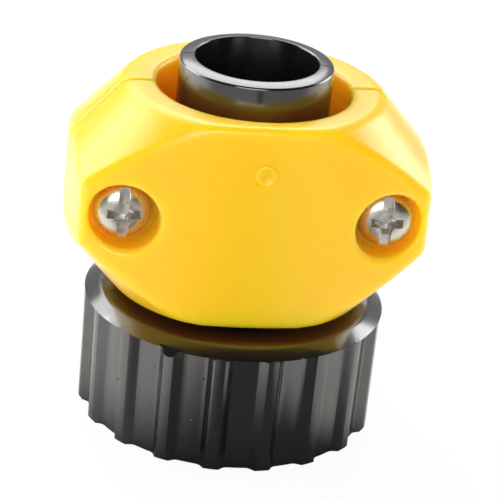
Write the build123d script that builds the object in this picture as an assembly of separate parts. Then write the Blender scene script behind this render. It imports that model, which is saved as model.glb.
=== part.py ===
from build123d import *
import math
import os

# Clamp-type female coupler for a 19 mm garden hose: a ribbed swivel nut with a sealing
# washer, a barbed stem, and a two-piece clamp that two screws draw together on the hose.
# Millimetres, +Z up. Nut, washer, stem and clamp share the Z axis, the nut stands on Z = 0,
# the clamp is parted on Y = 0 and its screws are driven from the front, -Y.

# Garden hose thread, 3/4-11.5 NH female: plain bore at the major diameter
thread_major_r = 13.62
thread_depth = 1.43
thread_height = 7.95
thread_relief = 0.28

# Sealing washer
washer_overhang = 0.9
washer_setback = 0.45
washer_thickness = 3.1

# Swivel nut
nut_wall = 4.88
nut_shoulder_run = 1.8
nut_shoulder_drop = 1.15
nut_lip_thickness = 2.9
nut_draft_deg = 0.7
nut_mouth_chamfer = 0.7
nut_foot_chamfer = 0.35
rib_count = 18
rib_height = 1.2
rib_base_width = 3.5
rib_crest_width = 1.4
rib_ledge = 0.3
rib_seating = 0.3
rib_turn_deg = 258.5

# Stem: flange in the nut, journal through its lip, neck in the clamp, barbed hose tube
flange_thickness = 2.2
flange_step = 1.3
neck_groove_depth = 1.4
neck_wall = 1.35
tube_wall = 1.95
collar_thickness = 1.6
barb_depth = 0.6
barb_pitch = 5.4
barb_count = 3
stem_projection = 3.45
rim_bevel = 0.35

# Clamp: two cones base to base, cut to shape in plan by flat arcs at its faces and ends
hose_space = 2.65
clamp_height = 27.4
ring_wall = 4.0
face_wall = 3.05
clamp_face_radius = 62.0
clamp_end_radius = 70.0
ear_length = 6.35
ear_height = 12.3
clamp_edge_bevel = 0.55
clamp_floor = 2.6
grip_height = 0.5
grip_base = 1.2
grip_count = 3
mouth_bevel = 0.4
gate_mark_r = 1.45
gate_mark_height = 0.4
gate_mark_rise = 7.6

# Clamp screws: pan head, in round recesses
screw_wall = 2.0
screw_head_r = 3.65
screw_head_height = 2.2
screw_crown_r = 2.26
screw_rim_height = 0.92
screw_shank_r = 2.0
screw_reach = 17.5
screw_tip = 2.5
screw_tip_r = 0.4
recess_depth = 3.7
recess_bevel = 0.4
drive_width = 1.4
drive_depth = 1.2
drive_cross_r = 2.25
slot_depth = 0.85

# Clearances
flange_clearance = 0.19
washer_gap = 0.3
washer_face_clearance = 0.1
nut_float = 0.65
journal_clearance = 0.2
nut_clamp_gap = 1.25
neck_clearance = 0.3
groove_clearance = 0.15
seam = 0.15
screw_hole_clearance = 0.25
screw_thread_clearance = 0.05
screw_seat_clearance = 0.05
screw_tip_clearance = 1.0
screw_head_clearance = 0.75

# Radii of the nut, outwards from its thread
chamber_r = thread_major_r + thread_relief
nut_valley_r = thread_major_r + nut_wall
nut_shoulder_r = nut_valley_r + rib_height
nut_top_r = nut_shoulder_r - nut_shoulder_run

# Radii of the stem, which goes in through the thread, and of the washer under it
thread_minor_r = thread_major_r - thread_depth
flange_r = thread_minor_r - flange_clearance
journal_r = flange_r - flange_step
neck_r = journal_r - neck_groove_depth
stem_bore_r = neck_r - neck_wall
hose_tube_r = stem_bore_r + tube_wall
washer_r = thread_minor_r + washer_overhang
washer_bore_r = stem_bore_r + washer_setback

# Radii and widths of the clamp, outwards from the hose
cavity_r = hose_tube_r + hose_space
clamp_ring_r = cavity_r + ring_wall
clamp_half_depth = cavity_r + face_wall
screw_offset = cavity_r + screw_wall + screw_hole_clearance + screw_shank_r
clamp_half_width = screw_offset + ear_length
recess_r = screw_head_r + screw_head_clearance

# Heights along the common axis, from the nut's mouth upwards
washer_z = thread_height + washer_gap
flange_z = washer_z + washer_thickness + washer_face_clearance
flange_top = flange_z + flange_thickness
lip_z = flange_top + nut_float
nut_height = lip_z + nut_lip_thickness
clamp_z = nut_height + nut_clamp_gap
clamp_top = clamp_z + clamp_height
clamp_mid = clamp_z + clamp_height / 2
floor_top = clamp_z + clamp_floor
neck_z = clamp_z - groove_clearance
collar_z = floor_top + groove_clearance
tube_z = collar_z + collar_thickness
stem_top = clamp_top + stem_projection

# Centres of the clamp's plan arcs, its depth at the screws and the floor of their recesses
face_centre = clamp_face_radius - clamp_half_depth
end_centre = clamp_end_radius - clamp_half_width
ear_depth = math.sqrt(clamp_face_radius**2 - screw_offset**2) - face_centre
seat_y = recess_depth - ear_depth

# A tool that only cuts runs past the faces that it goes through
past = 1.0

# Less than any real distance between two edges
tiny = 0.01


def turned(points):
    """Solid of revolution about Z from (radius, height) points."""
    outline = Polyline(*[(r, 0, z) for r, z in points], close=True)
    return revolve(make_face(outline), axis=Axis.Z)


def cylinder_y(radius, y_from, y_to, x):
    """Cylinder along Y at the clamp's mid-height."""
    plane = Plane(origin=(x, y_from, clamp_mid), z_dir=(0, 1, 0))
    return extrude(plane * Circle(radius), y_to - y_from)


def drafted(radius, height):
    """Radius of the nut's outside at a height, which narrows towards the mouth."""
    fall = nut_height - nut_shoulder_drop - height
    return radius - fall * math.tan(math.radians(nut_draft_deg))


def rib():
    """One grip rib along X+, as a straight prism that the nut's envelope trims."""
    flank = (rib_base_width - rib_crest_width) / 2 / rib_height
    root_r = drafted(nut_valley_r, 0) - rib_seating
    root_half = rib_crest_width / 2 + (nut_shoulder_r - root_r) * flank
    crest_half = rib_crest_width / 2
    section = make_face(Polyline(
        (root_r, -root_half),
        (nut_shoulder_r, -crest_half),
        (nut_shoulder_r + past, -crest_half),
        (nut_shoulder_r + past, crest_half),
        (nut_shoulder_r, crest_half),
        (root_r, root_half),
        close=True,
    ))
    return extrude(section, nut_height - nut_shoulder_drop)


def coupling_nut():
    shoulder_z = nut_height - nut_shoulder_drop
    envelope = turned([
        (0, 0),
        (drafted(nut_shoulder_r, 0) - nut_foot_chamfer, 0),
        (drafted(nut_shoulder_r, nut_foot_chamfer), nut_foot_chamfer),
        (nut_shoulder_r, shoulder_z),
        (nut_top_r, nut_height),
        (0, nut_height),
    ])
    core = turned([
        (0, 0),
        (drafted(nut_valley_r, 0), 0),
        (drafted(nut_valley_r, shoulder_z - rib_ledge), shoulder_z - rib_ledge),
        (nut_shoulder_r, shoulder_z),
        (nut_top_r, nut_height),
        (0, nut_height),
    ])
    ribs = [Rot(0, 0, rib_turn_deg + 360 / rib_count * k) * rib() for k in range(rib_count)]
    body = (core + ribs) & envelope
    socket = turned([
        (0, -past),
        (thread_major_r + nut_mouth_chamfer + past, -past),
        (thread_major_r, nut_mouth_chamfer),
        (thread_major_r, thread_height),
        (chamber_r, thread_height),
        (chamber_r, lip_z),
        (journal_r + journal_clearance, lip_z),
        (journal_r + journal_clearance, nut_height + past),
        (0, nut_height + past),
    ])
    return body - socket


def hose_washer():
    return turned([
        (washer_bore_r, washer_z),
        (washer_r, washer_z),
        (washer_r, washer_z + washer_thickness),
        (washer_bore_r, washer_z + washer_thickness),
    ])


def barbs():
    """Saw-tooth barbs from the collar upwards: each rises slowly and drops square."""
    points = []
    for k in range(barb_count):
        z = tube_z + barb_pitch * k
        points.append((hose_tube_r - barb_depth, z + barb_pitch))
        points.append((hose_tube_r, z + barb_pitch))
    return points


def hose_stem():
    outside = [
        (flange_r, flange_z),
        (flange_r, flange_top),
        (journal_r, flange_top),
        (journal_r, neck_z),
        (neck_r, neck_z),
        (neck_r, collar_z),
        (journal_r, collar_z),
        (journal_r, tube_z),
        (hose_tube_r, tube_z),
        *barbs(),
        (hose_tube_r, stem_top - rim_bevel),
        (hose_tube_r - rim_bevel, stem_top),
        (stem_bore_r, stem_top),
    ]
    return turned([(stem_bore_r, flange_z), *outside])


def clamp_plan():
    """Plan of the clamp: two flat arcs for its faces, and two for its ends."""
    face = Circle(clamp_face_radius)
    end = Circle(clamp_end_radius)
    faces = (Pos(0, face_centre) * face) & (Pos(0, -face_centre) * face)
    return faces & (Pos(end_centre, 0) * end) & (Pos(-end_centre, 0) * end)


def clamp_blank():
    """Both cones run from the flat rings through the ears' edges and meet at mid-height."""
    cone_run = clamp_half_width - clamp_ring_r
    cone_rise = (clamp_height - ear_height) / 2
    meeting_r = clamp_ring_r + clamp_height / 2 * cone_run / cone_rise
    profile = make_face(Polyline(
        (0, clamp_z),
        (clamp_ring_r, clamp_z),
        (meeting_r, clamp_mid),
        (clamp_ring_r, clamp_top),
        (0, clamp_top),
        close=True,
    ))
    cones = revolve(Plane.XZ * profile, axis=Axis.Z)
    block = Pos(0, 0, clamp_z - past) * extrude(clamp_plan(), clamp_height + 2 * past)
    blank = cones & block
    return chamfer(blank.edges(), clamp_edge_bevel)


def hose_cavity():
    """Space for the hose and the stem's neck, with the grip ridges left standing in it."""
    ridges = []
    for k in range(grip_count):
        z = tube_z + barb_pitch * (k + 0.5)
        ridges.append((cavity_r, z - grip_base / 2))
        ridges.append((cavity_r - grip_height, z))
        ridges.append((cavity_r, z + grip_base / 2))
    return turned([
        (0, clamp_z - past),
        (neck_r + neck_clearance, clamp_z - past),
        (neck_r + neck_clearance, floor_top),
        (cavity_r, floor_top),
        *ridges,
        (cavity_r, clamp_top - mouth_bevel),
        (cavity_r + mouth_bevel, clamp_top),
        (cavity_r + mouth_bevel, clamp_top + past),
        (0, clamp_top + past),
    ])


def clamp_side(y_from, y_to):
    """The clamp's hollow body between two planes across Y."""
    slab = Pos(0, (y_from + y_to) / 2, clamp_mid) * Box(
        4 * clamp_half_width, y_to - y_from, clamp_height + 2 * past
    )
    return (clamp_blank() & slab) - hose_cavity()


def gate_mark(side):
    """Low dome left by the mould's gate in the middle of a face."""
    radius = (gate_mark_r**2 + gate_mark_height**2) / (2 * gate_mark_height)
    y = clamp_half_depth + gate_mark_height - radius
    z = clamp_mid + gate_mark_rise
    slab = Box(4 * gate_mark_r, 2 * gate_mark_height, 4 * gate_mark_r)
    return (Pos(0, side * y, z) * Sphere(radius)) & (Pos(0, side * clamp_half_depth, z) * slab)


def on_recess_rim(edge):
    middle = edge.center()
    off_axis = math.hypot(abs(middle.X) - screw_offset, middle.Z - clamp_mid)
    return abs(off_axis - recess_r) < tiny and middle.Y < seat_y - tiny


def clamp_half_front():
    half = clamp_side(-clamp_half_depth - past, -seam / 2) + gate_mark(-1)
    for x in (-screw_offset, screw_offset):
        half -= cylinder_y(screw_shank_r + screw_hole_clearance, seat_y - past, past, x)
        half -= cylinder_y(recess_r, -clamp_half_depth - past, seat_y, x)
    return chamfer(half.edges().filter_by(on_recess_rim), recess_bevel)


def clamp_half_rear():
    half = clamp_side(seam / 2, clamp_half_depth + past) + gate_mark(1)
    hole_end = seat_y + screw_reach + screw_tip_clearance
    for x in (-screw_offset, screw_offset):
        half -= cylinder_y(screw_shank_r + screw_thread_clearance, -past, hole_end, x)
    return half


def screw(x):
    """Pan head screw pointing along +Y, with a cross drive that a slot runs through."""
    body = turned([
        (0, -screw_head_height),
        (screw_crown_r, -screw_head_height),
        (screw_head_r, -screw_rim_height),
        (screw_head_r, 0),
        (screw_shank_r, 0),
        (screw_shank_r, screw_reach - screw_tip),
        (screw_tip_r, screw_reach),
        (0, screw_reach),
    ])
    cross = Box(2 * drive_cross_r, drive_width, 2 * drive_depth)
    slot = Box(drive_width, 2 * screw_head_r + past, 2 * slot_depth)
    body -= Pos(0, 0, -screw_head_height) * (cross + slot)
    seat = seat_y - screw_seat_clearance
    return Pos(x, seat, clamp_mid) * Rot(-90, 0, 0) * body


nodes = {
    "coupling_nut": coupling_nut(),
    "hose_washer": hose_washer(),
    "hose_stem": hose_stem(),
    "clamp_half_front": clamp_half_front(),
    "clamp_half_rear": clamp_half_rear(),
    "screw_left": screw(-screw_offset),
    "screw_right": screw(screw_offset),
}

os.makedirs("parts", exist_ok=True)
for name, solid in nodes.items():
    export_step(solid, f"parts/{name}.step")
    print(name, round(solid.volume, 1), "mm3", solid.bounding_box().size)
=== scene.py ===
import bmesh
import bpy
import math
from mathutils import Matrix, Vector


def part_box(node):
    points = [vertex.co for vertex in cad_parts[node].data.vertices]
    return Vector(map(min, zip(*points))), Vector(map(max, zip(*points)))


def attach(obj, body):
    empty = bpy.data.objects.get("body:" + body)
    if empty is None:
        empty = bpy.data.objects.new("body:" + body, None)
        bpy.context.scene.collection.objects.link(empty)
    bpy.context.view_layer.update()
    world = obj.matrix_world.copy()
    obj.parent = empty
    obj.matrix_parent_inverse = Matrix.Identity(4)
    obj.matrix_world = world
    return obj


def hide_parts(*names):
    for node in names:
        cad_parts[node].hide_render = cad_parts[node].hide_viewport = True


# A yellow and black garden hose coupler on a plain pale floor. The coupler's own frame is kept:
# metres, +Z up, the nut stands on Z = 0 and the clamp's screws are driven from the front, -Y.

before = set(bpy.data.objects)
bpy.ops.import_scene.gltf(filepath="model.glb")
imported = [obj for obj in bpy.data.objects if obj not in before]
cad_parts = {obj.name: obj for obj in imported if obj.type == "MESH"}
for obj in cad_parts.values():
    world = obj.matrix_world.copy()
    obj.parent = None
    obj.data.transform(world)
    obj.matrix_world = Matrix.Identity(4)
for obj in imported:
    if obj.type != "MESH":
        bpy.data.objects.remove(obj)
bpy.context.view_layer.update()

MM = 0.001
TURN = 2 * math.pi

# Camera, as the photograph was taken
AIM = Vector((0, 0, 0.027))
CAMERA_AZIMUTH = math.radians(-9.69)
CAMERA_ELEVATION = math.radians(24.46)
CAMERA_ROLL = math.radians(5.9)
CAMERA_DISTANCE = 0.347
SENSOR_WIDTH = 36.0
PIXELS = 500
PIXELS_PER_MM = 7.66
AIM_ASIDE = 1.14 * MM
AIM_DOWN = 4.17 * MM

# How bright the studio's dim fill is, as a share of white
FILL_LEVEL = 0.48

# Coarser than rounding errors and finer than any real distance between two points
SEAM = 0.002 * MM
RING_TOLERANCE = 0.02

# Places read from the coupler's own solids, in mm
nut_low, nut_high = [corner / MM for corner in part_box("coupling_nut")]
stem_low, stem_high = [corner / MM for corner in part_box("hose_stem")]
washer_low, washer_high = [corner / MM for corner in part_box("hose_washer")]
left_low, left_high = [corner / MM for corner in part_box("screw_left")]
right_low, right_high = [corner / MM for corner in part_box("screw_right")]
clamp_low, clamp_high = [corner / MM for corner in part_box("clamp_half_front")]

# Swivel nut, in mm and degrees
NUT_SHOULDER_DROP = 1.15
NUT_TOP_R = 17.9
NUT_LIP_R = 10.9
NUT_LIP_THICKNESS = 2.9
CHAMBER_R = 13.9
THREAD_MAJOR_R = 13.62
THREAD_MINOR_R = 12.19
THREAD_PITCH = 2.209
THREAD_TOP = 7.95
MOUTH_CHAMFER = 0.7
FOOT_CHAMFER = 0.35
DRAFT_DEG = 0.7
RIB_COUNT = 18
RIB_TURN_DEG = 258.5
RIB_LEDGE = 0.3
# How far a rib's outline lies below its crest, degree by degree from its middle
RIB_FALL = (0.0, 0.0, 0.07, 0.37, 0.78, 1.08, 1.18, 1.2, 1.2, 1.2, 1.2)

# Moulding flaws on the nut: degrees, radius, height and half size in mm
NUT_NICKS = (
    (227.1, 19.72, 16.02, 0.3),
    (229.6, 19.66, 16.1, 0.2),
    (215.1, 19.74, 16.0, 0.27),
    (289.7, 19.7, 16.05, 0.24),
    (315.7, 19.74, 16.02, 0.26),
    (318.9, 19.5, 16.3, 0.16),
    (251.8, 18.56, 12.4, 0.24),
    (250.9, 18.54, 11.9, 0.14),
    (248.5, 18.47, 6.3, 0.2),
    (264.0, 18.55, 9.0, 0.12),
    (223.0, 18.5, 5.1, 0.15),
    (281.0, 19.72, 6.4, 0.16),
)
NUT_FLECKS = (
    (248.3, 19.4, 16.2, 0.13),
    (307.1, 18.4, 7.9, 0.13),
    (319.2, 19.6, 12.1, 0.12),
    (268.0, 18.45, 13.2, 0.09),
    (231.0, 18.45, 12.2, 0.1),
    (246.0, 18.42, 3.1, 0.1),
    (285.0, 18.45, 4.6, 0.1),
    (300.5, 18.45, 11.4, 0.09),
    (212.0, 18.45, 8.0, 0.11),
)
# One rib's top is cut off on the slant
CUT_RIB_DEG = 238.5
CUT_RIB_SLOPE_DEG = 23.6

# Stem, in mm
JOURNAL_R = 10.7
NECK_R = 9.3
STEM_BORE_R = 7.95
TUBE_R = 9.9
FLANGE_THICKNESS = 2.2
NECK_LOW = 18.3
COLLAR_LOW = 21.2
COLLAR_TOP = 22.8
BARB_DEPTH = 0.6
BARB_PITCH = 5.4
BARB_COUNT = 3
RIM_DROP = 0.3
PARTING_LINE_DEG = -9.0

# Gate mark in the middle of each clamp face, in mm
GATE_MARK_R = 1.4
GATE_MARK_HEIGHT = 0.4
GATE_MARK_Z = 39.75
DISH_R = 1.75
DISH_DEPTH = 0.38

# Screws, in mm
SCREW_HEAD_HEIGHT = 2.2
SCREW_THREAD_R = 1.98
SCREW_CORE_R = 1.55
SCREW_PITCH = 1.41
SLOT_WIDTH = 1.4
SLOT_DEPTH = 0.85
CROSS_WIDTH = 1.5
CROSS_R = 2.7
CROSS_DEPTH = 1.9
CENTRE_WIDTH = 2.1


def linear(hex_colour):
    """An sRGB hex colour as linear red, green, blue and alpha."""
    channels = [int(hex_colour[i:i + 2], 16) / 255 for i in (1, 3, 5)]
    return [c / 12.92 if c <= 0.04045 else ((c + 0.055) / 1.055) ** 2.4 for c in channels] + [1.0]


def per(size_mm):
    """Texture scale at which a pattern repeats about once in a size, on Object coordinates."""
    return 1 / (size_mm * MM)


def add(tree, kind, inputs=None, **settings):
    """Adds a node, sets its properties, and sets or links its inputs."""
    node = tree.nodes.new(kind)
    for name, value in settings.items():
        setattr(node, name, value)
    for name, value in (inputs or {}).items():
        if isinstance(value, bpy.types.NodeSocket):
            tree.links.new(value, node.inputs[name])
        else:
            node.inputs[name].default_value = value
    return node


def new_material(name):
    """An empty material, its tree and its Object coordinates."""
    material = bpy.data.materials.new(name)
    material.use_nodes = True
    tree = material.node_tree
    tree.nodes.clear()
    place = add(tree, "ShaderNodeTexCoord").outputs["Object"]
    return material, tree, place


def finish_material(tree, inputs):
    shader = add(tree, "ShaderNodeBsdfPrincipled", inputs)
    add(tree, "ShaderNodeOutputMaterial", {"Surface": shader.outputs["BSDF"]})


def yellow_polypropylene():
    """Injection moulded polypropylene: warm and slightly see-through, glowing orange where it is deep."""
    material, tree, place = new_material("yellow_polypropylene")
    flow = add(tree, "ShaderNodeMapping", {"Vector": place, "Scale": (1, 1, 0.3)})
    bands = add(tree, "ShaderNodeTexNoise", {"Vector": flow.outputs["Vector"], "Scale": per(12), "Detail": 1.0})
    colour = add(tree, "ShaderNodeValToRGB", {"Fac": bands.outputs["Fac"]})
    for stop, hex_colour in zip(colour.color_ramp.elements, ("#fbbb12", "#fdc41e")):
        stop.color = linear(hex_colour)
    peel = add(tree, "ShaderNodeTexNoise", {"Vector": place, "Scale": per(1.0), "Detail": 2.0})
    bump = add(tree, "ShaderNodeBump", {"Height": peel.outputs["Fac"], "Strength": 0.06, "Distance": 0.05 * MM})
    finish_material(tree, {
        "Base Color": colour.outputs["Color"],
        "Roughness": 0.3,
        "Subsurface Weight": 1.0,
        "Subsurface Radius": (1.0, 0.58, 0.08),
        "Subsurface Scale": 7.0 * MM,
        "Normal": bump.outputs["Normal"],
    })
    return material


def black_acetal():
    """Injection moulded acetal: near black, satin, with faint moulding specks."""
    material, tree, place = new_material("black_acetal")
    grain = add(tree, "ShaderNodeTexNoise", {"Vector": place, "Scale": per(0.5), "Detail": 3.0})
    blotch = add(tree, "ShaderNodeTexNoise", {"Vector": place, "Scale": per(5), "Detail": 2.0})
    roughness = add(
        tree, "ShaderNodeMapRange",
        {"Value": blotch.outputs["Fac"], "From Min": 0.3, "From Max": 0.7, "To Min": 0.13, "To Max": 0.2},
    )
    bump = add(tree, "ShaderNodeBump", {"Height": grain.outputs["Fac"], "Strength": 0.15, "Distance": 0.02 * MM})
    finish_material(tree, {
        "Base Color": linear("#0f0f0f"),
        "Roughness": roughness.outputs["Result"],
        "IOR": 1.65,
        "Specular IOR Level": 1.0,
        "Normal": bump.outputs["Normal"],
    })
    return material


def zinc_plate():
    """Bright zinc on a pressed steel head: pale metal, a little uneven."""
    material, tree, place = new_material("zinc_plate")
    cloud = add(tree, "ShaderNodeTexNoise", {"Vector": place, "Scale": per(0.8), "Detail": 3.0})
    roughness = add(
        tree, "ShaderNodeMapRange",
        {"Value": cloud.outputs["Fac"], "From Min": 0.3, "From Max": 0.7, "To Min": 0.24, "To Max": 0.38},
    )
    bump = add(tree, "ShaderNodeBump", {"Height": cloud.outputs["Fac"], "Strength": 0.2, "Distance": 0.03 * MM})
    finish_material(tree, {
        "Base Color": linear("#d3d0c8"),
        "Metallic": 1.0,
        "Roughness": roughness.outputs["Result"],
        "Normal": bump.outputs["Normal"],
    })
    return material


def nitrile_rubber():
    """Moulded rubber: dull, very dark grey."""
    material, tree, place = new_material("nitrile_rubber")
    grain = add(tree, "ShaderNodeTexNoise", {"Vector": place, "Scale": per(0.4), "Detail": 3.0})
    bump = add(tree, "ShaderNodeBump", {"Height": grain.outputs["Fac"], "Strength": 0.3, "Distance": 0.03 * MM})
    finish_material(tree, {
        "Base Color": linear("#1a1a1a"),
        "Roughness": 0.75,
        "Normal": bump.outputs["Normal"],
    })
    return material


def pale_floor():
    """White paper: white to the eye with a faint shadow. Reflections see it lit by the lamps alone,
    with painted shadow in its colour: a dark patch just in front of the coupler, and the far front painted half
    as dark."""
    material, tree, place = new_material("pale_floor")
    seen = add(tree, "ShaderNodeLightPath")
    clear = add(
        tree, "ShaderNodeMath",
        {0: seen.outputs["Is Camera Ray"], 1: seen.outputs["Is Transmission Ray"]}, operation="MAXIMUM",
    )
    share = add(tree, "ShaderNodeMath", {0: clear.outputs["Value"], 1: 0.92}, operation="MULTIPLY")
    parts = add(tree, "ShaderNodeSeparateXYZ", {"Vector": place})
    # Painted shadow, seen only in reflections: the paper darkens in a patch just in front of the coupler and, by
    # half, far in front of it
    edges = [
        add(
            tree, "ShaderNodeMapRange",
            {"Value": source, "From Min": light_at, "From Max": dark_at, "To Min": 0.0, "To Max": darkest},
            interpolation_type="SMOOTHSTEP",
        ).outputs["Result"]
        for source, light_at, dark_at, darkest in (
            (parts.outputs["X"], -32 * MM, -6 * MM, 1.0),
            (parts.outputs["X"], 24 * MM, 12 * MM, 1.0),
            (parts.outputs["Y"], 15 * MM, 0, 0.9),
            (parts.outputs["Y"], -45 * MM, -75 * MM, 0.5),
        )
    ]
    strip = add(tree, "ShaderNodeMath", {0: edges[0], 1: edges[1]}, operation="MULTIPLY")
    near = add(tree, "ShaderNodeMath", {0: strip.outputs["Value"], 1: edges[2]}, operation="MULTIPLY")
    both = add(tree, "ShaderNodeMath", {0: near.outputs["Value"], 1: edges[3]}, operation="MAXIMUM")
    painted_shade = add(
        tree, "ShaderNodeMath", {0: both.outputs["Value"], 1: seen.outputs["Is Glossy Ray"]},
        operation="MULTIPLY",
    )
    # Pale paper, turned dark grey where the painted shadow lies
    painted_shade_tone = add(
        tree, "ShaderNodeMix", {0: painted_shade.outputs["Value"], 6: linear("#f4f4f4"), 7: linear("#303030")},
        data_type="RGBA",
    )
    paper = add(tree, "ShaderNodeBsdfDiffuse", {"Color": painted_shade_tone.outputs[2]})
    glow = add(tree, "ShaderNodeEmission", {"Color": linear("#ffffff"), "Strength": 1.0})
    mix = add(
        tree, "ShaderNodeMixShader",
        {"Fac": share.outputs["Value"], 1: paper.outputs["BSDF"], 2: glow.outputs["Emission"]},
    )
    add(tree, "ShaderNodeOutputMaterial", {"Surface": mix.outputs["Shader"]})
    return material


def white_world():
    """White to the eye. Reflections see white behind the coupler and a dim room in front of it."""
    world = bpy.data.worlds.new("studio")
    bpy.context.scene.world = world
    world.use_nodes = True
    tree = world.node_tree
    tree.nodes.clear()
    seen = add(tree, "ShaderNodeLightPath")
    way = add(tree, "ShaderNodeTexCoord")
    parts = add(tree, "ShaderNodeSeparateXYZ", {"Vector": way.outputs["Generated"]})
    room = add(
        tree, "ShaderNodeMapRange",
        {"Value": parts.outputs["Y"], "From Min": 0.1, "From Max": 0.5, "To Min": 0.02, "To Max": 0.5},
        interpolation_type="SMOOTHSTEP",
    )
    reflected = add(
        tree, "ShaderNodeMix",
        {0: seen.outputs["Is Glossy Ray"], 2: FILL_LEVEL, 3: room.outputs["Result"]}, data_type="FLOAT",
    )
    passed = add(
        tree, "ShaderNodeMath",
        {0: seen.outputs["Is Camera Ray"], 1: seen.outputs["Is Transmission Ray"]}, operation="MAXIMUM",
    )
    strength = add(
        tree, "ShaderNodeMath", {0: reflected.outputs[0], 1: passed.outputs["Value"]}, operation="MAXIMUM",
    )
    sky = add(tree, "ShaderNodeBackground", {"Color": linear("#ffffff"), "Strength": strength.outputs["Value"]})
    add(tree, "ShaderNodeOutputWorld", {"Surface": sky.outputs["Background"]})


def place_camera():
    camera = bpy.data.objects.new("camera", bpy.data.cameras.new("camera"))
    bpy.context.scene.collection.objects.link(camera)
    level = math.cos(CAMERA_ELEVATION)
    back = Vector((
        math.sin(CAMERA_AZIMUTH) * level,
        -math.cos(CAMERA_AZIMUTH) * level,
        math.sin(CAMERA_ELEVATION),
    ))
    right = Vector((math.cos(CAMERA_AZIMUTH), math.sin(CAMERA_AZIMUTH), 0))
    up = back.cross(right)
    rolled_right = right * math.cos(CAMERA_ROLL) + up * math.sin(CAMERA_ROLL)
    rolled_up = up * math.cos(CAMERA_ROLL) - right * math.sin(CAMERA_ROLL)
    place = AIM + back * CAMERA_DISTANCE + rolled_right * AIM_ASIDE - rolled_up * AIM_DOWN
    turn = Matrix((rolled_right, rolled_up, back)).transposed()
    camera.matrix_world = Matrix.Translation(place) @ turn.to_4x4()
    camera.data.sensor_width = SENSOR_WIDTH
    camera.data.lens = SENSOR_WIDTH * PIXELS_PER_MM * CAMERA_DISTANCE / MM / PIXELS
    camera.data.clip_start = 0.01
    bpy.context.scene.camera = camera


def softbox(name, place, aim, size, power):
    lamp = bpy.data.lights.new(name, "AREA")
    lamp.shape = "RECTANGLE"
    lamp.size, lamp.size_y = size
    lamp.energy = power
    light = bpy.data.objects.new(name, lamp)
    bpy.context.scene.collection.objects.link(light)
    light.location = place
    light.visible_camera = False
    light.rotation_euler = (Vector(aim) - Vector(place)).to_track_quat("-Z", "Y").to_euler()


def light_studio():
    """Tall softboxes on both sides, a little behind the coupler, one high behind and one above."""
    middle = (0, 0, 0.03)
    softbox("softbox_left", (-0.26, 0.12, 0.13), middle, (0.20, 0.22), 0.75)
    softbox("softbox_right", (0.28, 0.12, 0.11), middle, (0.18, 0.22), 0.65)
    softbox("softbox_back", (-0.06, 0.33, 0.36), middle, (0.50, 0.30), 1.7)
    softbox("softbox_front", (-0.12, -0.50, 0.24), middle, (0.40, 0.30), 1.6)


def lay_floor():
    bpy.ops.mesh.primitive_plane_add(size=6)
    floor = bpy.context.object
    floor.name = "floor"
    floor.data.materials.append(pale_floor())


def select_nothing():
    if bpy.context.mode != "OBJECT":
        bpy.ops.object.mode_set(mode="OBJECT")
    bpy.ops.object.select_all(action="DESELECT")


def pick_points(wanted):
    """Selects the points whose radius, angle in degrees and height, in mm, are wanted."""
    data = bpy.context.object.data
    mesh = bmesh.from_edit_mesh(data)
    mesh.select_mode = {"VERT"}
    for point in mesh.verts:
        x, y, z = point.co / MM
        point.select = bool(wanted(math.hypot(x, y), math.degrees(math.atan2(y, x)) % 360, z))
    mesh.select_flush_mode()
    bmesh.update_edit_mesh(data)


def pick_rings(rings):
    """Selects the turned edges at the given (radius, height) places, in mm."""
    def on_ring(point, ring):
        near_radius = abs(math.hypot(point.co.x, point.co.y) / MM - ring[0]) < RING_TOLERANCE
        return near_radius and abs(point.co.z / MM - ring[1]) < RING_TOLERANCE

    data = bpy.context.object.data
    mesh = bmesh.from_edit_mesh(data)
    bpy.ops.mesh.select_all(action="DESELECT")
    bpy.ops.mesh.select_mode(type="EDGE")
    mesh = bmesh.from_edit_mesh(data)
    for edge in mesh.edges:
        edge.select = any(all(on_ring(point, ring) for point in edge.verts) for ring in rings)
    bmesh.update_edit_mesh(data)


def to_radius(factor):
    bpy.ops.transform.resize(value=(factor, factor, 1), center_override=(0, 0, 0))


def turn(name, outline, sides, first_angle=0.0):
    """Turned shape about Z: a circle extruded and scaled ring by ring along (radius, height) in mm.

    The outline either comes back to its first ring or ends on the axis at radius 0.
    """
    select_nothing()
    radius, height = outline[0]
    bpy.ops.mesh.primitive_circle_add(
        vertices=sides, radius=radius * MM, location=(0, 0, height * MM), rotation=(0, 0, first_angle),
    )
    piece = bpy.context.object
    piece.name = name
    bpy.ops.object.transform_apply(location=True, rotation=True, scale=True)
    bpy.ops.object.mode_set(mode="EDIT")
    bpy.ops.mesh.select_all(action="SELECT")
    for next_radius, next_height in outline[1:]:
        rise = (0, 0, (next_height - height) * MM)
        bpy.ops.mesh.extrude_region_move(TRANSFORM_OT_translate={"value": rise})
        if next_radius:
            to_radius(next_radius / radius)
        else:
            bpy.ops.mesh.merge(type="CENTER")
        radius, height = next_radius, next_height
    close_seams()
    return piece


def close_seams():
    bpy.ops.mesh.select_all(action="SELECT")
    bpy.ops.mesh.remove_doubles(threshold=SEAM)
    bpy.ops.mesh.normals_make_consistent(inside=False)


def round_rings(rings, size, steps=3):
    pick_rings(rings)
    bpy.ops.mesh.bevel(offset=size * MM, offset_type="OFFSET", segments=steps, profile=0.5, affect="EDGES")


def modify(piece, kind, **settings):
    """Adds a modifier and applies it."""
    select_nothing()
    piece.select_set(True)
    bpy.context.view_layer.objects.active = piece
    modifier = piece.modifiers.new(kind.lower(), kind)
    for name, value in settings.items():
        setattr(modifier, name, value)
    bpy.ops.object.modifier_apply(modifier=modifier.name)


def combine(piece, tool, operation):
    """Unites a piece with a tool or cuts the tool out of it, and removes the tool."""
    modify(piece, "BOOLEAN", object=tool, operation=operation, solver="EXACT")
    bpy.data.objects.remove(tool, do_unlink=True)


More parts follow.
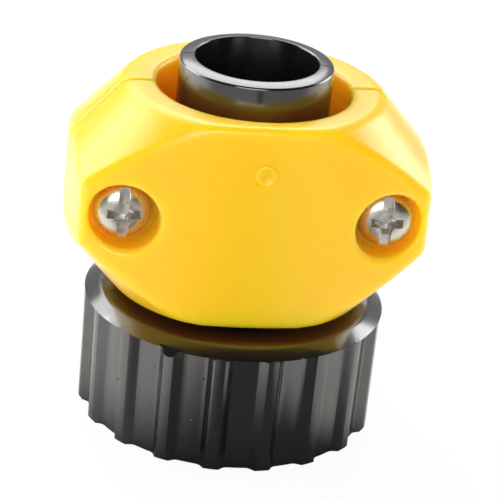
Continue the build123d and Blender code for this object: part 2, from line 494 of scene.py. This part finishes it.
def smooth(piece, angle, weighted=False):
    """Smooths the shading where faces meet at less than an angle in degrees."""
    select_nothing()
    piece.select_set(True)
    bpy.context.view_layer.objects.active = piece
    bpy.ops.object.shade_smooth_by_angle(angle=math.radians(angle))
    if weighted:
        modify(piece, "WEIGHTED_NORMAL", mode="FACE_AREA", weight=50, keep_sharp=True)


def thread_ridge(name, wall, crest, foot_width, crest_width, pitch, low, high, steps):
    """A helical ridge on a wall, drawn as one turned section and faded out at both ends."""
    select_nothing()
    depth = abs(wall - crest)
    bpy.ops.mesh.primitive_plane_add(
        size=MM, location=((wall + crest) / 2 * MM, 0, low * MM), rotation=(math.pi / 2, 0, 0),
    )
    ridge = bpy.context.object
    ridge.name = name
    ridge.scale = (depth, foot_width, 1)
    bpy.ops.object.transform_apply(location=True, rotation=True, scale=True)
    bpy.ops.object.mode_set(mode="EDIT")
    pick_points(lambda r, angle, z: abs(r - crest) < depth / 2)
    narrow = crest_width / foot_width
    bpy.ops.transform.resize(value=(1, 1, narrow), center_override=(0, 0, low * MM))
    turns = (high - low) / pitch
    select_nothing()
    modify(
        ridge, "SCREW", axis="Z", angle=turns * TURN, screw_offset=(high - low) * MM,
        steps=steps, render_steps=steps, use_merge_vertices=False, use_smooth_shade=True,
    )
    bpy.ops.object.mode_set(mode="EDIT")
    fade_steps = 6
    degrees_per_step = 360 * turns / steps
    for k in range(fade_steps):
        left = depth * (1 - k / fade_steps) * 0.9
        sunk = crest + math.copysign(left, wall - crest)
        for angle_at, height_at in (
            (k * degrees_per_step, low + k * degrees_per_step / 360 * pitch),
            (360 * turns - k * degrees_per_step, high - k * degrees_per_step / 360 * pitch),
        ):
            pick_points(lambda r, angle, z: (
                abs(r - crest) < depth * 0.05
                and abs((angle - angle_at + 180) % 360 - 180) < degrees_per_step / 2
                and abs(z - height_at) < pitch / 2
            ))
            to_radius(sunk / crest)
    bpy.ops.mesh.select_all(action="SELECT")
    bpy.ops.mesh.fill_holes(sides=4)
    close_seams()
    select_nothing()
    return ridge


def scatter(places, rise):
    """Small flattened balls, joined, at (degrees, radius, height, half size) places."""
    select_nothing()
    balls = []
    for angle, radius, height, size in places:
        way = math.radians(angle)
        bpy.ops.mesh.primitive_ico_sphere_add(
            subdivisions=2, radius=size * MM,
            location=(radius * math.cos(way) * MM, radius * math.sin(way) * MM, height * MM),
            rotation=(0.3 * angle, 0, way),
        )
        bpy.context.object.scale = (1, rise, 0.8)
        balls.append(bpy.context.object)
    for ball in balls:
        ball.select_set(True)
    bpy.ops.object.join()
    bpy.ops.object.transform_apply(location=True, rotation=True, scale=True)
    return bpy.context.object


def rib_top_cutter():
    """A block whose inner face slopes across the top of one rib."""
    select_nothing()
    bpy.ops.mesh.primitive_cube_add(size=MM, location=(19.898 * MM, 0, 15.75 * MM))
    block = bpy.context.object
    block.scale = (1.0, 3.4, 1.4)
    block.rotation_euler.y = -math.radians(CUT_RIB_SLOPE_DEG)
    bpy.ops.object.transform_apply(location=True, rotation=True, scale=True)
    block.rotation_euler.z = math.radians(CUT_RIB_DEG)
    bpy.ops.object.transform_apply(location=True, rotation=True, scale=True)
    return block


def coupling_nut():
    """Ribbed swivel nut: turned, its valleys pressed in between the ribs, threaded inside."""
    top = nut_high.z
    shoulder = top - NUT_SHOULDER_DROP
    shoulder_r = nut_high.x if nut_high.x > nut_high.y else nut_high.y
    lip = top - NUT_LIP_THICKNESS
    draft = math.tan(math.radians(DRAFT_DEG))
    ribbed = [
        (shoulder_r - draft * RIB_LEDGE, shoulder - RIB_LEDGE),
        (shoulder_r - draft * (shoulder - FOOT_CHAMFER), FOOT_CHAMFER),
        (shoulder_r - draft * shoulder - FOOT_CHAMFER, 0),
    ]
    nut = turn("ribbed_nut", [
        (NUT_LIP_R, lip),
        (NUT_LIP_R, top),
        (NUT_TOP_R, top),
        (shoulder_r, shoulder),
        *ribbed,
        (THREAD_MAJOR_R + MOUTH_CHAMFER, 0),
        (THREAD_MAJOR_R, MOUTH_CHAMFER),
        (THREAD_MAJOR_R, THREAD_TOP),
        (CHAMBER_R, THREAD_TOP),
        (CHAMBER_R, lip),
        (NUT_LIP_R, lip),
    ], 360, math.radians(RIB_TURN_DEG % 1))
    round_rings([(NUT_LIP_R, top)], 0.25, 5)
    round_rings([(NUT_TOP_R, top)], 0.35)
    for ring_r, ring_z in ribbed:
        chamfered = FOOT_CHAMFER if ring_z == 0 else 0
        for step, fall in enumerate(RIB_FALL):
            fall = max(0, fall - chamfered)
            pick_points(lambda r, angle, z: (
                abs(r - ring_r) < RING_TOLERANCE and abs(z - ring_z) < RING_TOLERANCE
                and abs(abs((angle - RIB_TURN_DEG + 10) % 20 - 10) - step) < 0.3
            ))
            to_radius((ring_r - fall) / ring_r)
    combine(nut, thread_ridge(
        "nut_thread", THREAD_MAJOR_R + 0.1, THREAD_MINOR_R, 1.75, 0.35, THREAD_PITCH, 1.9, 6.9, 160,
    ), "UNION")
    combine(nut, rib_top_cutter(), "DIFFERENCE")
    combine(nut, scatter(NUT_NICKS, 1.4), "DIFFERENCE")
    combine(nut, scatter(NUT_FLECKS, 0.7), "UNION")
    smooth(nut, 22)
    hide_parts("coupling_nut")
    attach(nut, "nut")
    return nut


def hose_stem():
    """Flange, journal, neck groove, collar, barbs and the plain end of the tube."""
    low, top = stem_low.z, stem_high.z
    flange_r = stem_high.x
    outline = [
        (STEM_BORE_R, low),
        (flange_r, low),
        (flange_r, low + FLANGE_THICKNESS),
        (JOURNAL_R, low + FLANGE_THICKNESS),
        (JOURNAL_R, NECK_LOW),
        (NECK_R, NECK_LOW),
        (NECK_R, COLLAR_LOW),
        (JOURNAL_R, COLLAR_LOW),
        (JOURNAL_R, COLLAR_TOP),
        (TUBE_R, COLLAR_TOP),
    ]
    for k in range(1, BARB_COUNT + 1):
        outline.append((TUBE_R - BARB_DEPTH, COLLAR_TOP + BARB_PITCH * k))
        outline.append((TUBE_R, COLLAR_TOP + BARB_PITCH * k))
    outline += [(TUBE_R, top - RIM_DROP), (STEM_BORE_R, top), (STEM_BORE_R, low)]
    stem = turn("hose_stem_moulding", outline, 192)
    round_rings([(TUBE_R, top - RIM_DROP)], 0.25, 4)
    round_rings([(STEM_BORE_R, top), (STEM_BORE_R, low), (flange_r, low), (JOURNAL_R, COLLAR_LOW)], 0.2)
    round_rings([(JOURNAL_R, NECK_LOW), (JOURNAL_R, COLLAR_TOP)], 0.2)
    select_nothing()
    bpy.ops.mesh.primitive_cube_add(size=MM, location=(0, 0, (top - 0.1) * MM))
    line = bpy.context.object
    line.scale = (2 * TUBE_R + 1, 0.16, 0.36)
    line.rotation_euler.z = math.radians(PARTING_LINE_DEG)
    bpy.ops.object.transform_apply(location=True, rotation=True, scale=True)
    combine(stem, line, "DIFFERENCE")
    smooth(stem, 35)
    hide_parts("hose_stem")
    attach(stem, "stem")
    return stem


def hose_washer():
    """Flat sealing washer with softly rounded corners."""
    low, high, outer = washer_low.z, washer_high.z, washer_high.x
    inner = STEM_BORE_R + 0.45
    corners = [(inner, low), (outer, low), (outer, high), (inner, high)]
    washer = turn("sealing_washer", corners + corners[:1], 128)
    round_rings(corners, 0.4, 4)
    smooth(washer, 40)
    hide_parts("hose_washer")
    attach(washer, "washer")
    return washer


def drive_cutter(name, length, width, depth, floor_scale):
    """A block whose sides draw in towards its floor, standing on the screw's crown."""
    select_nothing()
    bpy.ops.mesh.primitive_cube_add(size=MM, location=(0, 0, -SCREW_HEAD_HEIGHT * MM))
    cutter = bpy.context.object
    cutter.name = name
    cutter.scale = (length, width, 2 * depth)
    bpy.ops.object.transform_apply(location=True, rotation=True, scale=True)
    bpy.ops.object.mode_set(mode="EDIT")
    pick_points(lambda r, angle, z: z > -SCREW_HEAD_HEIGHT)
    bpy.ops.transform.resize(value=(*floor_scale, 1), center_override=(0, 0, 0))
    select_nothing()
    return cutter


def clamp_screws():
    """Pan head screws, driven by a cross that a slot runs through, with a forming thread."""
    head_r = (left_high.x - left_low.x) / 2
    middle_x = (left_high.x + left_low.x) / 2
    middle_z = (left_high.z + left_low.z) / 2
    seat_y = left_low.y + SCREW_HEAD_HEIGHT
    reach = left_high.y - seat_y
    screw = turn("clamp_screw_left", [
        (0.3 * head_r, -SCREW_HEAD_HEIGHT),
        (0.48 * head_r, -SCREW_HEAD_HEIGHT + 0.05),
        (0.66 * head_r, -SCREW_HEAD_HEIGHT + 0.2),
        (0.81 * head_r, -SCREW_HEAD_HEIGHT + 0.47),
        (0.92 * head_r, -SCREW_HEAD_HEIGHT + 0.82),
        (0.985 * head_r, -SCREW_HEAD_HEIGHT + 1.25),
        (head_r, -0.5),
        (head_r, -0.12),
        (0.97 * head_r, 0),
        (SCREW_CORE_R + 0.35, 0),
        (SCREW_CORE_R, 0.4),
        (SCREW_CORE_R, reach - 3.2),
        (SCREW_CORE_R * 0.7, reach - 1.2),
        (0.3, reach),
        (0, reach),
    ], 96)
    pick_rings([(0.3 * head_r, -SCREW_HEAD_HEIGHT)])
    bpy.ops.mesh.extrude_region_move()
    bpy.ops.mesh.merge(type="CENTER")
    close_seams()
    for length, width, depth, ends, sides in (
        (SLOT_WIDTH, 2.2 * head_r, SLOT_DEPTH, 0.9, 1.0),
        (2 * CROSS_R, CROSS_WIDTH, CROSS_DEPTH, 0.55, 0.6),
        (CROSS_WIDTH, 2 * CROSS_R, CROSS_DEPTH, 0.6, 0.55),
        (CENTRE_WIDTH, CENTRE_WIDTH, CROSS_DEPTH * 1.05, 0.7, 0.7),
    ):
        combine(screw, drive_cutter("drive_recess", length, width, depth, (ends, sides)), "DIFFERENCE")
    modify(screw, "BEVEL", width=0.07 * MM, segments=2, limit_method="ANGLE", angle_limit=math.radians(40))
    combine(screw, thread_ridge(
        "screw_thread", SCREW_CORE_R - 0.08, SCREW_THREAD_R, 0.8, 0.12, SCREW_PITCH, 1.2, reach - 2.6, 400,
    ), "UNION")
    smooth(screw, 30)
    screw.rotation_euler.x = -math.pi / 2
    screw.location = (middle_x * MM, seat_y * MM, middle_z * MM)
    bpy.ops.object.transform_apply(location=True, rotation=True, scale=True)
    bpy.ops.object.duplicate(linked=False)
    right = bpy.context.object
    right.name = "clamp_screw_right"
    right.location.x = -2 * middle_x * MM
    bpy.ops.object.transform_apply(location=True, rotation=True, scale=True)
    for piece, node, body in ((screw, "screw_left", "left_screw"), (right, "screw_right", "right_screw")):
        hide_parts(node)
        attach(piece, body)
    return screw, right


def clamp_half(name, node, body, side):
    """A moulded half: the solid's own form, its edges softened, with the gate's button on its face."""
    half = bpy.data.objects.new(name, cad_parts[node].data.copy())
    bpy.context.scene.collection.objects.link(half)
    select_nothing()
    half.select_set(True)
    bpy.context.view_layer.objects.active = half
    bpy.ops.object.mode_set(mode="EDIT")
    close_seams()
    select_nothing()
    modify(half, "REMESH", mode="VOXEL", voxel_size=0.3 * MM, adaptivity=0.0)
    modify(half, "SMOOTH", factor=0.5, iterations=4)
    face_y = (clamp_low.y + GATE_MARK_HEIGHT) * MM
    mark = turn("gate_mark", [
        (GATE_MARK_R, 0.5), (GATE_MARK_R, -0.24), (0.95 * GATE_MARK_R, -0.34), (0.86 * GATE_MARK_R, -0.39),
        (0.5 * GATE_MARK_R, -0.39), (0.2 * GATE_MARK_R, -0.39), (0, -0.39),
    ], 48)
    pick_rings([(GATE_MARK_R, 0.5)])
    bpy.ops.mesh.edge_face_add()
    close_seams()
    select_nothing()
    mark.select_set(True)
    mark.rotation_euler.x = -math.pi / 2 if side < 0 else math.pi / 2
    mark.location = (0, -side * face_y, GATE_MARK_Z * MM)
    bpy.ops.object.transform_apply(location=True, rotation=True, scale=True)
    combine(half, mark, "UNION")
    dish_y = side * (GATE_MARK_HEIGHT + DISH_R - DISH_DEPTH) * MM + -side * face_y
    bpy.ops.mesh.primitive_uv_sphere_add(
        segments=64, ring_count=32, radius=DISH_R * MM, location=(0, dish_y, GATE_MARK_Z * MM),
    )
    dish = bpy.context.object
    bpy.ops.object.transform_apply(location=True, rotation=True, scale=True)
    combine(half, dish, "DIFFERENCE")
    smooth(half, 60)
    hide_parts(node)
    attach(half, body)
    return half


def finish_node(name, material):
    """Gives a carried-over solid its material."""
    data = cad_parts[name].data
    data.materials.clear()
    data.materials.append(material)


bpy.ops.object.select_all(action="DESELECT")
place_camera()
light_studio()
white_world()
lay_floor()

yellow = yellow_polypropylene()
black = black_acetal()
zinc = zinc_plate()
rubber = nitrile_rubber()
pieces = [
    (coupling_nut(), black),
    (hose_stem(), black),
    (hose_washer(), rubber),
    (clamp_half("front_clamp_half", "clamp_half_front", "front_clamp", -1), yellow),
    (clamp_half("rear_clamp_half", "clamp_half_rear", "stem", 1), yellow),
    *((screw, zinc) for screw in clamp_screws()),
]
for piece, material in pieces:
    piece.data.materials.clear()
    piece.data.materials.append(material)
for node in ("clamp_half_front", "clamp_half_rear"):
    finish_node(node, yellow)
for node in ("coupling_nut", "hose_stem"):
    finish_node(node, black)
for node in ("screw_left", "screw_right"):
    finish_node(node, zinc)
finish_node("hose_washer", rubber)

bpy.context.scene.view_settings.view_transform = "Standard"
